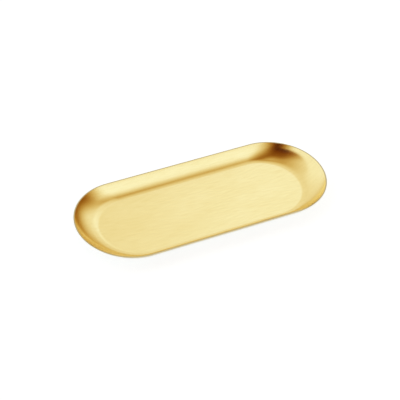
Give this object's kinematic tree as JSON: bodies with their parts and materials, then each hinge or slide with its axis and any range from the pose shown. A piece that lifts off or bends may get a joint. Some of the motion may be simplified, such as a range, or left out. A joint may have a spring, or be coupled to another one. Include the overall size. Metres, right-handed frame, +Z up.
{
  "type": "metal tray",
  "caption": "Small obround trinket and pen tray pressed from one sheet of satin gold metal, with a flat floor and a low wall that sweeps up all round to a plain edge.",
  "frame": {"origin": "middle of the flat underside, on the surface that the tray stands on", "axes": "+X along the tray's length, +Y across it, +Z up out of the tray"},
  "size_m": [0.23, 0.092, 0.0116],
  "materials": {
    "satin_gold": "satin pale gold plating with a fine brushed grain"
  },
  "bodies": {
    "root": {"tray_pressing": "satin_gold"}
  },
  "joints": []
}
